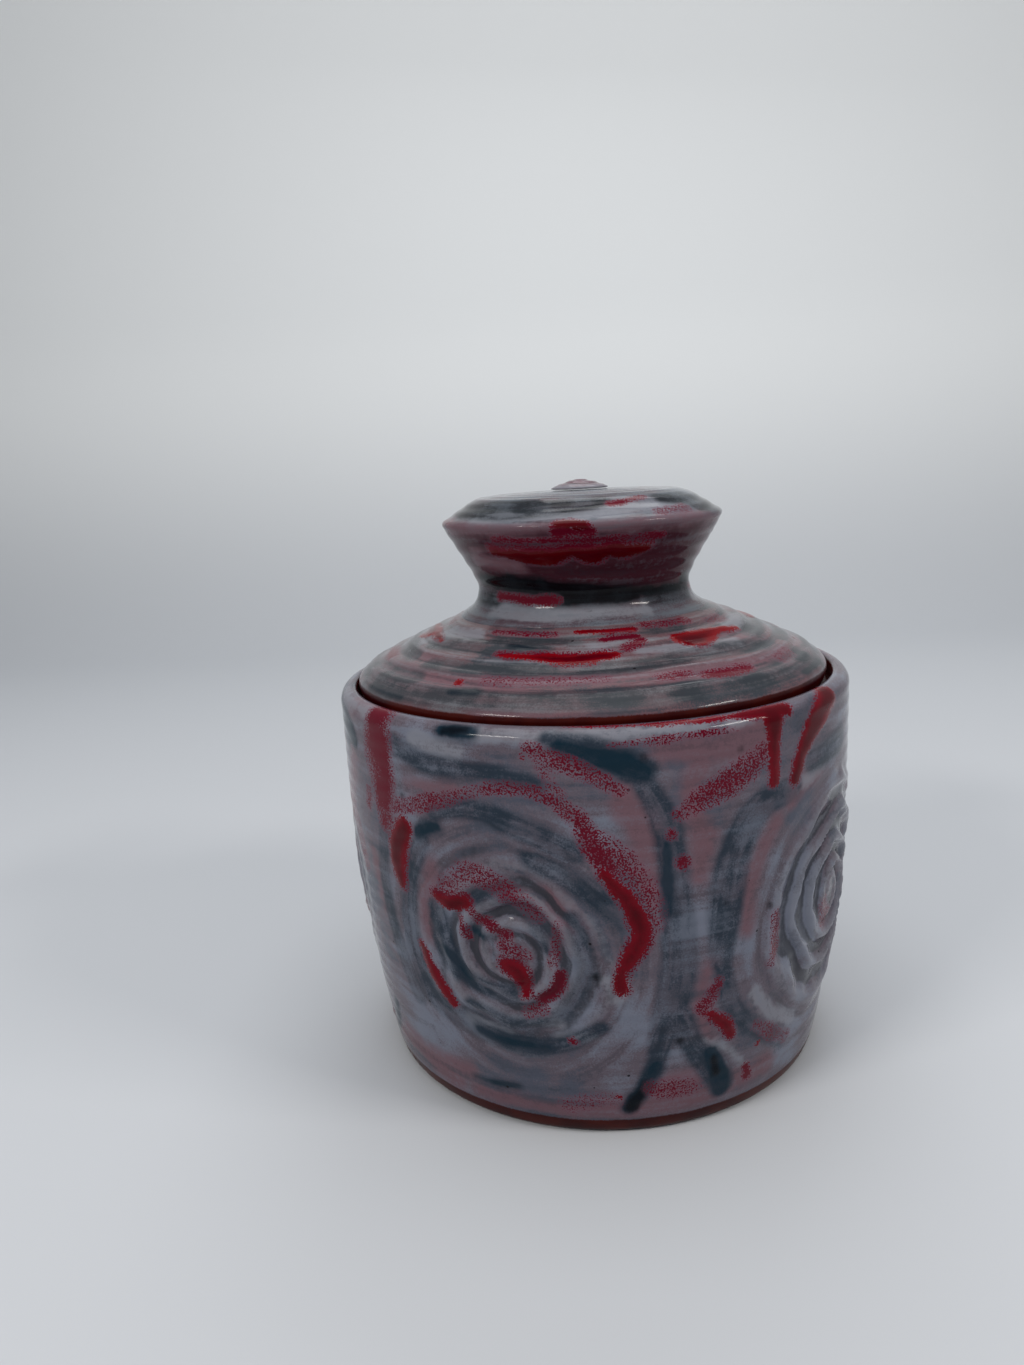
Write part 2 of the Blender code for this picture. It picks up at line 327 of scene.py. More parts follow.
def skin_object(name, skin, relief, fields, glaze):
    """The mesh object of a skin, with its fields as vertex attributes, its glaze and a map for baking."""
    rows, columns = skin.shape
    places = skin.points(relief).reshape(-1, 3)
    last = rows if skin.closed else rows - 1
    row, column = np.meshgrid(np.arange(last), np.arange(columns), indexing="ij")
    corner_rows = row.reshape(-1, 1) + np.array([[0, 1, 1, 0]])
    corner_columns = column.reshape(-1, 1) + np.array([[0, 0, 1, 1]])
    faces = (corner_rows % rows) * columns + corner_columns % columns
    mesh = bpy.data.meshes.new(name)
    mesh.from_pydata(places.tolist(), [], faces.tolist())
    for field, values in fields.items():
        is_vector = values.ndim == 3
        attribute = mesh.attributes.new(field, "FLOAT_VECTOR" if is_vector else "FLOAT", "POINT")
        spread = values if is_vector else np.broadcast_to(values, skin.shape)
        attribute.data.foreach_set("vector" if is_vector else "value", spread.astype(np.float32).ravel())
    add_bake_map(mesh, skin, corner_rows, corner_columns)
    mesh.materials.append(glaze.material)
    mesh.polygons.foreach_set("use_smooth", np.ones(len(mesh.polygons), dtype=bool))
    if not skin.closed:
        close_poles(mesh)
    piece = bpy.data.objects.new(name, mesh)
    bpy.context.collection.objects.link(piece)
    return piece


def close_poles(mesh):
    """Joins the points that lie together on the axis, at both ends of the outline."""
    work = bmesh.new()
    work.from_mesh(mesh)
    bmesh.ops.remove_doubles(work, verts=work.verts, dist=POLE_DISTANCE)
    work.to_mesh(mesh)
    work.free()


def add_bake_map(mesh, skin, corner_rows, corner_columns):
    """Lays the front and back half of what shows in two wide strips, and the rest in two narrow ones."""
    half_columns = skin.shape[1] // 2
    count = corner_rows.max()
    travel = skin.travel[:count, 0]
    shows = (travel >= skin.shown[0]) & (travel <= skin.shown[1])
    shown_share = np.concatenate(([0], np.cumsum(shows))) / shows.sum()
    hidden_share = np.concatenate(([0], np.cumsum(~shows))) / max((~shows).sum(), 1)
    half = (corner_columns[:, :1] >= half_columns).astype(int)
    u = MAP_ACROSS[0] + MAP_ACROSS[1] * (corner_columns - half * half_columns) / half_columns

    def strips(place, share):
        start, second, width = place
        return start + second * half + width * share[corner_rows]

    is_shown = shows[corner_rows[:, 0]][:, None]
    v = np.where(is_shown, strips(MAP_SHOWN, shown_share), strips(MAP_HIDDEN, hidden_share))
    layer = mesh.uv_layers.new(name="OFBake")
    layer.data.foreach_set("uv", np.stack((u, v), axis=-1).astype(np.float32).ravel())


# Strokes of glaze, placed after the photograph
# Each is a smooth line through a few points of (degrees, travel, half width in mm)
# A red one starts with its density and the width of its speckled fringe, and may end with the fringe's lift

JAR_RED = (
    # Runs at the left
    (0.9, 2.0, ((-48, 4, 6.5), (-49, 14, 8), (-48, 24, 6.5))),
    (0.95, 1.5, ((-47, 22, 4.5), (-48, 31, 5), (-48, 38, 3))),
    (0.7, 1.5, ((-54, 30, 1), (-55, 35, 1))),
    (1.0, 1.5, ((-41, 37, 3.5), (-44, 46, 4.5), (-44, 57, 2))),
    # The swag over the left rosette, and the long trail that it runs into
    (0.6, 1.5, ((-44, 32, 2), (-35, 28, 2), (-18, 20, 1.5), (-9, 22, 1.5), (-3, 28, 2)), 0.5),
    (0.8, 1.5, ((-3, 28, 2), (-1, 35, 2.5), (2, 43, 2.5))),
    (1.0, 1.5, ((1, 44, 1.5), (5, 52, 2.5), (8, 62, 3), (7, 68, 3), (4, 76, 2), (4, 82, 2))),
    (0.6, 4.0, ((1, 37, 2), (7, 48, 3), (10, 60, 2))),
    # Slanting sprays under the rim
    (0.7, 2.0, ((35, 14, 2.5), (27, 20, 3.5), (21, 24, 3), (16, 28, 1.5))),
    (0.65, 1.5, ((-12, 7, 1), (-7, 11, 2.5), (-2, 14, 2), (5, 20, 1.5))),
    (0.4, 1.5, ((-10, 12, 1), (-6, 21, 1.5))),
    # Lines along the rim, and the two drips at the right
    (1.0, 0.5, ((-5, 0, 0.5), (10, 1, 1), (28, 2, 1.5), (40, 3, 3))),
    (0.6, 0.5, ((2, 7, 0.5), (15, 6, 1), (27, 6, 0.5))),
    (1.0, 1.0, ((36, 4, 4), (36, 12, 2.5), (36, 24, 2.5))),
    (1.0, 1.0, ((55, 4, 5), (48, 11, 4.5), (44, 18, 3), (42, 25, 2.5))),
    # In the left rosette
    (1.0, 1.5, ((-34, 57, 1.5), (-30, 58, 2.5), (-27, 57, 2)), 1.0),
    (0.55, 2.5, ((-31, 52, 2.5), (-25, 47, 3), (-17, 51, 2), (-11, 58, 1.5))),
    (0.7, 1.0, ((-25, 59, 1), (-24, 62, 1.5))),
    (0.7, 1.0, ((-28, 62, 1), (-27, 68, 1))),
    (0.9, 1.0, ((-23, 62, 1.5), (-18, 65, 1.5))),
    (0.7, 1.5, ((-19, 69, 1.5), (-15, 71, 2))),
    (1.0, 1.5, ((-19, 75, 2), (-16, 77, 3), (-15, 84, 1.5))),
    (0.95, 1.0, ((-8, 77, 1.5), (-9, 82, 2), (-12, 86, 1.5))),
    (0.5, 1.5, ((-8, 60, 1), (-9, 73, 1))),
    (0.5, 1.5, ((-15, 91, 1.5), (-12, 89, 1.5))),
    (1.0, 1.0, ((-40, 76, 1.5), (-37, 86, 2), (-33, 94, 1.5))),
    # In and around the right rosette
    (0.8, 1.5, ((24, 84, 1), (21, 91, 2))),
    (1.0, 1.5, ((22, 94, 1), (26, 99, 2), (28, 104, 1.5))),
    (0.7, 1.5, ((38, 67, 1.5), (38, 77, 2), (37, 83, 1))),
    (0.6, 2.0, ((57, 74, 2), (59, 80, 3))),
    (0.5, 2.0, ((35, 104, 1), (39, 109, 2), (46, 116, 1.5))),
    # Near the foot
    (0.5, 2.5, ((11, 119, 2.5), (19, 120, 2.5))),
    (0.3, 3.0, ((-8, 124, 2), (2, 122, 2))),
    (0.9, 1.0, ((33, 119, 1), (34, 123, 1.5))),
    # Single drops
    (0.85, 1.0, ((14, 34, 1.5),)),
    (0.85, 1.0, ((16, 43, 2),)),
    (1.0, 0.5, ((3, 121, 1),)),
    (1.0, 0.5, ((36, 112, 1),)),
    (1.0, 0.5, ((-13, 10, 1),)),
    (1.0, 0.5, ((-6, 100, 1),)),
)
JAR_INK = (
    ((9, 117, 2), (6, 125, 2.5)),
    ((24, 111, 1), (25, 117, 1.5)),
    ((-29, 4, 1.5), (-24, 3, 1)),
    ((-41, 27, 1),),
    ((-1, 78, 1),),
    ((16, 102, 1),),
    ((25, 58, 0.5),),
    ((28, 12, 0.5),),
    ((36, 63, 1),),
    ((9, 11, 1),),
)
JAR_NAVY = (
    ((-6, 7, 2), (0, 10, 3), (5, 12, 3.5), (9, 15, 2.5)),
    ((13, 36, 1), (13, 58, 1.5)),
    ((11, 110, 2), (8, 119, 2.5), (5, 125, 2)),
    ((23, 109, 2.5), (26, 118, 3.5), (27, 124, 3)),
    ((-30, 4, 2), (-23, 4, 2)),
    ((-37, 37, 2), (-32, 34, 2)),
    ((-31, 121, 0.5), (-25, 121, 1.5), (-19, 120, 0.5)),
    ((-27, 101, 1), (-21, 103, 1.5), (-11, 103, 1)),
    ((-26, 66, 1.5), (-23, 67, 1.5)),
    ((-33, 74, 1), (-28, 83, 1.5)),
)
JAR_SLATE = (
    # The dark way down between the rosettes, forked below
    ((9, 18, 2.5), (13, 32, 3.5), (15, 60, 4), (15, 82, 5), (11, 108, 2.5), (9, 118, 2.5)),
    ((16, 93, 3), (19, 105, 3), (27, 123, 3.5)),
    # Around the right rosette
    ((42, 28, 2.5), (33, 30, 4), (27, 42, 5), (25, 62, 5), (25, 80, 2.5), (30, 99, 2.5), (45, 116, 2.5)),
    ((48, 22, 3), (62, 20, 4)),
    # Around the left rosette, from its outside in
    ((-35, 35, 2), (-41, 55, 3), (-43, 75, 3.5), (-40, 94, 3.5)),
    ((-40, 94, 3.5), (-28, 101, 3), (-12, 103, 2.5), (0, 95, 1.5)),
    ((-34, 62, 3), (-33, 74, 3.5), (-28, 83, 3), (-18, 86, 2)),
    ((-28, 92, 2), (-18, 96, 2), (-7, 90, 1.5)),
    ((-26, 56, 1.5), (-20, 52, 1.5), (-13, 57, 2), (-10, 68, 1.5)),
    ((-5, 58, 1.5), (-3, 70, 1.5), (-4, 81, 1.5), (-8, 90, 1.5)),
    # Bands over the left rosette
    ((-33, 30, 1.5), (-24, 27, 2.5), (-14, 31, 3), (-4, 38, 2.5)),
    ((-13, 40, 2), (-6, 45, 3), (0, 52, 3), (4, 59, 2)),
    # Under the rim and at the left edge
    ((-8, 5, 2), (0, 9, 4), (9, 15, 3.5)),
    ((-43, 11, 2.5), (-33, 15, 2.5), (-20, 15, 2), (-10, 18, 1.5)),
    ((-49, 41, 1.5), (-51, 60, 2.5), (-49, 80, 3), (-45, 97, 3)),
    ((43, 8, 2), (50, 4, 1.5)),
)
JAR_PALE_AND_RIM_HIGHLIGHT = (
    ((-36, 8, 2.5), (-26, 10, 2)),
    # Along the rim's crown: pale glaze, partly a painted highlight
    ((-22, 4, 1.5), (5, 4, 2), (30, 4, 1)),
    ((-29, 98, 1), (-20, 100, 1.5)),
    ((-9, 99, 1), (-2, 98, 1.5)),
    ((-15, 93, 1), (-9, 94, 1.5)),
    ((1, 79, 1), (3, 86, 1), (6, 78, 1)),
    ((21, 103, 1), (27, 109, 1.5), (33, 118, 1)),
    ((33, 92, 2), (40, 103, 2.5), (48, 110, 2)),
    ((45, 28, 1.5), (53, 23, 1.5)),
)
JAR_PINK = (
    ((5, 22, 4), (9, 34, 5), (11, 52, 3)),
    ((20, 14, 4), (17, 24, 3), (20, 36, 4), (19, 48, 2.5)),
    ((37, 36, 2), (31, 52, 3), (30, 68, 2.5)),
    ((-34, 48, 3), (-37, 60, 3.5), (-37, 71, 3)),
    ((-39, 23, 2), (-28, 21, 2)),
    ((-9, 49, 2), (-5, 60, 2.5)),
    ((22, 78, 2), (20, 90, 2.5), (23, 104, 2)),
    ((-30, 126, 2.5), (5, 126, 3), (40, 122, 4)),
    ((-62, 20, 4), (-68, 38, 4)),
    ((-55, 50, 2), (-53, 70, 2)),
    ((-54, 120, 4), (-38, 126, 4)),
    ((-62, 4, 3), (-52, 3, 2)),
    ((12, 9, 3), (21, 10, 5), (32, 10, 5)),
    ((12, 119, 4), (19, 118, 5)),
    ((41, 32, 2), (50, 25, 2)),
)
# The strokes again on the sides that the photograph doesn't show: how many degrees further round, and a seed
JAR_REPEATS = ((149, 3), (-71, 8))

LID_RED = (
    (0.7, 1.0, ((-38, 13, 1), (-12, 13, 1))),
    (1.0, 0.5, ((-4, 12, 1), (18, 12, 1))),
    (0.9, 1.0, ((5, 17, 1), (17, 16, 1.5))),
    (0.8, 1.0, ((12, 22, 2), (18, 19, 1.5))),
    (1.0, 1.5, ((-29, 25, 1), (-14, 26, 2.5), (-3, 27, 3.5), (8, 25, 2)), 0.5),
    (1.0, 1.0, ((31, 20, 2), (36, 22, 4.5), (42, 21, 4), (50, 20, 2), (62, 22, 1))),
    (0.9, 1.5, ((28, 40, 1), (36, 40, 2), (42, 40, 1.5))),
    (0.6, 1.5, ((17, 38, 1), (25, 38, 1))),
    (0.7, 1.0, ((24, 10, 1.5), (45, 11, 1.5))),
    (0.5, 1.0, ((55, 14, 2), (66, 15, 2))),
    (0.4, 2.0, ((56, 40, 2), (64, 40, 2.5))),
    (0.35, 2.0, ((-26, 38, 1.5), (4, 37, 1.5))),
    (1.0, 0.5, ((-33, 40, 1.5),)),
)
LID_NAVY = (
    ((-26, 20, 1.5), (-15, 22, 1)),
    ((-33, 45, 1), (-26, 44, 1.5)),
    ((62, 44, 2), (68, 44, 2)),
    ((-62, 50, 1), (-46, 50, 1)),
)
LID_SLATE = (
    ((-62, 24, 3), (-40, 21, 3), (-14, 21, 2)),
    ((-50, 34, 2), (-15, 32, 2.5), (10, 32, 2.5), (36, 29, 2.5), (60, 32, 2)),
    ((-68, 48, 3), (-30, 47, 3), (0, 46, 3), (35, 46, 3.5), (70, 44, 4)),
    ((-35, 17, 1.5), (-5, 17, 1.5)),
    ((24, 14, 1.5), (38, 13, 1.5)),
)
LID_PALE = (
    ((-66, 17, 3), (-45, 16, 3)),
    ((-30, 29, 1), (-8, 29, 1)),
    ((2, 21, 1.5), (8, 20, 1.5)),
    ((16, 24, 2), (30, 25, 2.5), (50, 27, 2.5)),
)
LID_PINK = (
    ((-70, 42, 4), (-30, 40, 4), (0, 37, 2.5), (25, 38, 3), (65, 40, 4)),
    ((-78, 28, 2.5), (-50, 32, 1.5)),
    ((50, 25, 2.5), (66, 28, 3.5)),
    ((-24, 51, 1), (12, 52, 1)),
)
KNOB_RED = (
    (1.0, 1.0, ((-8, 50, 1.5), (-3, 50, 2), (2, 51, 1.5))),
    (0.9, 1.0, ((-9, 53, 1.5), (4, 53, 1.5))),
    (1.0, 2.0, ((-40, 60, 1), (-22, 62, 2.5), (-11, 62, 2.5), (-4, 60, 1.5)), 1.0),
    (1.0, 2.0, ((-4, 60, 1.5), (5, 62, 3), (10, 60, 1.5)), 1.0),
    (1.0, 2.0, ((10, 60, 1.5), (20, 61, 2.5), (28, 60, 1)), 1.0),
    (0.8, 0.5, ((-36, 55, 1), (0, 56, 1), (34, 56, 1))),
    (0.8, 1.0, ((13, 41, 1), (20, 40, 1), (32, 38, 1))),
    (0.5, 1.5, ((32, 47, 1.5), (48, 46, 1.5))),
    (0.9, 1.0, ((-48, 77, 1), (-20, 78, 1.5), (-12, 78, 1))),
)
KNOB_NAVY = (
    ((-62, 72, 2), (-38, 72, 3), (-14, 74, 3), (20, 76, 2), (60, 77, 1)),
    ((-14, 78, 1.5), (28, 78, 1.5)),
)
KNOB_SLATE = (
    ((-66, 42, 4), (-30, 42, 4.5), (0, 41, 3), (10, 39, 2)),
    ((40, 40, 2), (60, 42, 4)),
    ((35, 79, 1.5), (68, 79, 2)),
)
KNOB_PALE = (
    ((-48, 46, 2), (-5, 46, 2), (20, 44, 3), (45, 43, 3)),
    ((-50, 82, 2), (-10, 83, 3), (30, 82, 2)),
)
KNOB_PINK = (
    ((-66, 51, 2), (0, 52, 1.5), (58, 50, 2)),
    ((-52, 63, 4), (-30, 65, 2.5)),
)
LID_REPEATS = ((122, 5), (-118, 6))

# How loosely the strokes are repeated, how they are brushed and how the red thins out at its edges
REPEAT_SHIFT = 5.0
REPEAT_SLIDE = 3.0
REPEAT_SWELL = (0.75, 1.25)
REPEAT_CHANCE = 0.85
SEED_SPACING = 100
RIM_TRAVEL = 8
SEEN_SIDE = 62
BRISTLE_WIDTH = 2.4
BRISTLE_LENGTH = 26.0
LANE_SPACING = 9
RED_EDGE = ((0.8, 7, 1), (0.5, 3, 2))
FRINGE_EDGE = (0.9, 6, 3)
FRINGE_UNEVEN = (0.35, 10, 4)
FRINGE_DEPTH = 0.4
FRINGE_POWER = 0.8


def repeats(points, plan, number):
    """A stroke, and loose repeats of it further round the piece, off the side that the photograph shows."""
    yield points
    middle = sum(point[0] for point in points) / len(points)
    for turn, seed in plan:
        chance = random.Random(SEED_SPACING * seed + number)
        shift = turn + chance.uniform(-REPEAT_SHIFT, REPEAT_SHIFT)
        slide = chance.uniform(-REPEAT_SLIDE, REPEAT_SLIDE) if points[0][1] > RIM_TRAVEL else 0
        swell = chance.uniform(*REPEAT_SWELL)
        is_hidden = abs((middle + shift + 180) % 360 - 180) > SEEN_SIDE
        if is_hidden and chance.random() < REPEAT_CHANCE:
            yield tuple((angle + shift, travel + slide, half * swell) for angle, travel, half in points)


def brushed(skin, strokes, plan):
    """Distance to the edge of the nearest stroke, and where to read noise for the marks of its bristles."""
    nearest = np.full(skin.shape, FAR)
    lane = np.zeros(skin.shape)
    for number, points in enumerate(strokes):
        for copy in repeats(points, plan, number):
            inside, offset = skin.stroke(copy)
            closer = inside > nearest
            nearest = np.where(closer, inside, nearest)
            lane = np.where(closer, offset + LANE_SPACING * number, lane)
    around = skin.radius * skin.sine
    return nearest, skin.vectors(lane / BRISTLE_WIDTH, skin.travel / BRISTLE_LENGTH, around / BRISTLE_LENGTH)


def red_fields(skin, strokes, plan):
    """The solid red strokes, and how much of the surface the red specks around them cover, from 0 to 1."""
    ragged = skin.rough(*RED_EDGE)
    loose = skin.rough(FRINGE_EDGE)
    uneven = 1 + skin.rough(FRINGE_UNEVEN)
    solid = np.full(skin.shape, FAR)
    cover = np.zeros(skin.shape)
    for number, (density, fringe, points, *lift) in enumerate(strokes):
        for copy in repeats(points, plan, number):
            if density == 1:
                solid = np.maximum(solid, skin.stroke(copy)[0] + ragged)
            raised = tuple((angle, travel - sum(lift), half) for angle, travel, half in copy)
            inside = skin.stroke(raised)[0] + loose
            depth = fringe + FRINGE_DEPTH * max(point[2] for point in copy)
            reach = np.clip((inside + fringe) / depth, 0, 1)
            cover = np.maximum(cover, np.clip(density * uneven * reach ** FRINGE_POWER, 0, 1))
    return solid, cover


def stroke_fields(skin, plan, red, navy, slate, pale, pink, ink=()):
    """The fields of all the strokes on a piece."""
    slate_field, slate_bristle = brushed(skin, slate, plan)
    navy_field, navy_bristle = brushed(skin, navy, plan)
    solid, cover = red_fields(skin, red, plan)
    return {
        "slate": slate_field,
        "navy": navy_field,
        "ink": brushed(skin, ink, plan)[0],
        "bristle": np.where((navy_field > slate_field)[..., None], navy_bristle, slate_bristle),
        "pale": brushed(skin, pale, plan)[0],
        "pink": brushed(skin, pink, plan)[0],
        "red": solid,
        "speck": cover,
    }


# The jar's finger-drawn rosettes, which follow the slip swirls of the frame
# Fades are the (near, far) distances from a rosette's middle, in mm or in shares of its reach

ROSETTE_NODES = ("slip_swirl_1", "slip_swirl_2", "slip_swirl_3", "slip_swirl_4", "slip_swirl_5")
ROSETTE_DEPTH = (1.9, 2.2, 1.5, 1.5, 1.5)
ROSETTE_REACH = (19, 30, 21, 26, 20)
ROSETTE_TALLNESS = 1.05
ROSETTE_WOBBLE = ((0.42, 17, 3), (0.15, 7, 4))
ROSETTE_UNEVEN = (0.6, 11, 5)
ROSETTE_TURNS = 4.5
ROSETTE_START = 4.5
ROSETTE_END = 43.0
ROSETTE_SPACING = 0.75
CREST_POWER = 1.8
GROOVE_POWER = 2
CREST_BASE = 0.45
REACH_FADE = (0.9, 1.5)
FAINT_SHARE = 0.2
FAINT_FADE = (30, 48)
MIDDLE_SHARE = 0.1
MIDDLE_FADE = (4, 12)
BRUSHED_FADE = (40, 54)
RIDGE_SHARE = 0.35
RIDGE_FADE = (26, 44)
PALE_SHARE = 0.10
PALE_FADE = (18, 38)
RING_WIDTH = 3.2
RING_TURNS = 1.6
RING_SHIFT = 40


def rosettes(skin):
    """Around the nearest rosette's middle: the distance, the direction, its depth and reach, and the spiral's
    count of turns."""
    distances = []
    directions = []
    for node in ROSETTE_NODES:
        low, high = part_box(node)
        middle = np.mean([vertex.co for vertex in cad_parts[node].data.vertices], axis=0)
        across = skin.side(math.degrees(math.atan2(middle[0], -middle[1]))) * skin.mm_per_degree
        up = skin.height - (low.z + high.z) / 2 / MM
        distances.append(np.hypot(across, up / ROSETTE_TALLNESS))
        directions.append(np.arctan2(across, up))
    nearest = np.argmin(distances, axis=0)
    distance = np.min(distances, axis=0)
    direction = np.choose(nearest, directions)
    depth = np.choose(nearest, ROSETTE_DEPTH)
    reach = np.choose(nearest, ROSETTE_REACH)
    grown = np.clip((distance - ROSETTE_START) / (ROSETTE_END - ROSETTE_START), 0, None)
    count = ROSETTE_TURNS * grown ** ROSETTE_SPACING - direction / math.tau
    return distance, direction, depth, reach, count + skin.rough(*ROSETTE_WOBBLE)


def rosette_fields(skin, wall):
    """The rosettes' relief in mm, and the fields by which the glaze follows them."""
    distance, direction, depth, reach, count = rosettes(skin)
    swell = 0.5 + 0.5 * np.cos(math.tau * count)
    crest = swell ** CREST_POWER
    groove = (1 - swell) ** GROOVE_POWER
    strong = 1 - ease(distance / reach, *REACH_FADE)
    faint = 1 - ease(distance, *FAINT_FADE)
    middle = MIDDLE_SHARE + (1 - MIDDLE_SHARE) * ease(distance, *MIDDLE_FADE)
    hold = wall * middle * ((1 - FAINT_SHARE) * strong + FAINT_SHARE * faint)
    hold = hold * (1 + skin.rough(ROSETTE_UNEVEN))
    rose = wall * (1 - ease(distance, *BRUSHED_FADE))
    marked = hold + RIDGE_SHARE * rose * (1 - ease(distance, *RIDGE_FADE))
    ring = distance / RING_WIDTH + RING_SHIFT * depth
    fields = {
        "ring": skin.vectors(ring, RING_TURNS * np.sin(direction), RING_TURNS * np.cos(direction)),
        "rose": rose,
        # Crests and grooves, which the glaze colours with its own breaking and with painted highlight and
        # painted shade
        "ridge": marked * (crest - groove),
        "tone": PALE_SHARE * wall * (1 - ease(distance, *PALE_FADE)),
    }
    return depth * hold * (crest - CREST_BASE), fields


# The pot: spans of travel, relief in mm and lumps as (height, size, seed)
JAR_SHOWN = (-20, 138)
JAR_OUTSIDE = ((2, 6), (124, 130))
JAR_WALL = ((8, 24), (112, 126))
JAR_FOOT = 130.4
JAR_SEAT = (-18, -1.3)
JAR_RING_HEIGHT = 0.07
JAR_RINGS = (5.3, ((3, 50, 7),))
JAR_UNEVEN = (0.25, 38, 9)
JAR_RED_HEIGHT = 0.35
JAR_RED_EDGE = (-0.3, 1.6)
JAR_NAVY_HEIGHT = 0.1
JAR_NAVY_EDGE = (-0.3, 1.0)
JAR_STREAKS = (3.4, 46)
JAR_TONE_LUMPS = (0.15, 30, 8)
JAR_CLAY_LUMPS = (0.25, 6, 10)


def jar_piece():
    """The pot: throwing rings, rosettes, glaze that stands out in its runs, and a bare foot and lid seat."""
    skin = Skin("jar_body", JAR_COLUMNS, JAR_SHOWN, JAR_ROWS)
    outside = span(skin.travel, *JAR_OUTSIDE)
    wall = span(skin.travel, *JAR_WALL)
    drawn, rosette = rosette_fields(skin, wall)
    strokes = (JAR_RED, JAR_NAVY, JAR_SLATE, JAR_PALE_AND_RIM_HIGHLIGHT, JAR_PINK, JAR_INK)
    fields = stroke_fields(skin, JAR_REPEATS, *strokes) | rosette
    thrown = JAR_RING_HEIGHT * skin.rings(*JAR_RINGS) + wall * skin.rough(JAR_UNEVEN)
    red_runs = JAR_RED_HEIGHT * ease(fields["red"], *JAR_RED_EDGE)
    navy_runs = JAR_NAVY_HEIGHT * ease(fields["navy"], *JAR_NAVY_EDGE)
    relief = drawn + outside * (thrown + red_runs + navy_runs)
    foot = skin.travel - JAR_FOOT
    seat = np.minimum(skin.travel - JAR_SEAT[0], JAR_SEAT[1] - skin.travel)
    fields |= {
        "level": skin.level_streaks(*JAR_STREAKS),
        "tone": rosette["tone"] + skin.rough(JAR_TONE_LUMPS),
        "clay": np.maximum(foot, seat) + skin.rough(JAR_CLAY_LUMPS),
    }
    piece = skin_object("jar_pot", skin, relief, fields, Glaze("pot_glaze", JAR_TONES))
    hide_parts("jar_body", *ROSETTE_NODES)
    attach(piece, "jar")


def level_brushing(skin, streaks):
    """The fields of a ground that is brushed around the piece, with no rosette on it."""
    return {
        "ring": skin.vectors(0, 0, 0),
        "level": skin.level_streaks(*streaks),
        "rose": np.zeros(skin.shape),
    }


# The lid's dome, in the same way
DOME_SHOWN = (0, 58)
DOME_TOP = ((9, 14), (46, 50))
DOME_CLAY = 52.0
DOME_GLAZED = -5
DOME_RING_HEIGHT = 0.30
DOME_RING_RIDGE = 0.3
DOME_RINGS = (8.5, ((2.5, 45, 13),))
DOME_FINE_HEIGHT = 0.05
DOME_FINE_RIDGE = 0.35
DOME_FINE_RINGS = (3.1, ((4, 40, 14),))
DOME_RED_HEIGHT = 0.3
LID_RED_EDGE = (-0.3, 1.2)
DOME_STREAKS = (1.7, 60)
DOME_TONE_LUMPS = (0.10, 24, 15)
DOME_CLAY_LUMPS = (0.2, 6, 16)


def dome_piece():
    """The lid's dome: its turned rings and bands of glaze."""
    skin = Skin("lid_dome", LID_COLUMNS, DOME_SHOWN, DOME_ROWS)
    top = span(skin.travel, *DOME_TOP)
    rings = skin.rings(*DOME_RINGS)
    fine_rings = skin.rings(*DOME_FINE_RINGS)
    strokes = (LID_RED, LID_NAVY, LID_SLATE, LID_PALE, LID_PINK)
    fields = stroke_fields(skin, LID_REPEATS, *strokes) | level_brushing(skin, DOME_STREAKS)
    relief = top * (DOME_RING_HEIGHT * rings + DOME_FINE_HEIGHT * fine_rings)
    relief = relief + DOME_RED_HEIGHT * ease(fields["red"], *LID_RED_EDGE)
    under = np.where(skin.travel > 0, skin.travel - DOME_CLAY, DOME_GLAZED)
    fields |= {
        "ridge": top * (DOME_RING_RIDGE * rings + DOME_FINE_RIDGE * fine_rings),
        "tone": skin.rough(DOME_TONE_LUMPS),
        "clay": under + skin.rough(DOME_CLAY_LUMPS),
    }
    piece = skin_object("lid_cover", skin, relief, fields, Glaze("lid_glaze", LID_TONES))
    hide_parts("lid_dome")
    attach(piece, "lid")


# The knob's foot runs out onto the dome: steps out from the CAD foot and up from the dome's top, in mm
FOOT_FLARE = (
    (-2.5, 5.6), (-2.0, 3.9), (-1.2, 2.4), (0.1, 1.1),
    (1.7, 0.1), (3.2, -0.9), (4.4, -2.4), (2.0, -2.3),
)
NECK_INSIDE = 36.2


def flared_foot(outline):
    """The knob's outline, with its foot drawn out into the dome's slope."""
    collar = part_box("lid_dome")[1].z / MM
    is_foot = (outline[:, 1] < collar + FOOT_FLARE[0][1]) & (outline[:, 0] > NECK_INSIDE)
    first = np.argmax(is_foot)
    foot_radius = outline[is_foot, 0].max()
    flare = np.array(FOOT_FLARE) + (foot_radius, collar)
    return np.vstack((outline[:first], flare, outline[first:][~is_foot[first:]]))


# The knob
KNOB_SHOWN = (0, 92)
KNOB_FACE = ((10, 13), (34, 38))
KNOB_SIDE = ((36, 40), (78, 82))
KNOB_FLARE = ((51, 54), (72, 80))
KNOB_SPIRAL_HEIGHT = 0.18
KNOB_SPIRAL_RIDGE = 0.5
KNOB_SPIRAL = (6.0, ((1.2, 14, 42),), 1)
KNOB_RING_HEIGHT = 0.10
KNOB_RING_RIDGE = 0.12
KNOB_RINGS = (5.4, ((2, 40, 43),))
KNOB_RED_HEIGHT = 0.25
KNOB_RED_START = (40, 46)
KNOB_STREAKS = (2.8, 40)
KNOB_PALENESS = 0.14
KNOB_PLUM = 0.46
KNOB_TONE_LUMPS = (0.08, 20, 47)


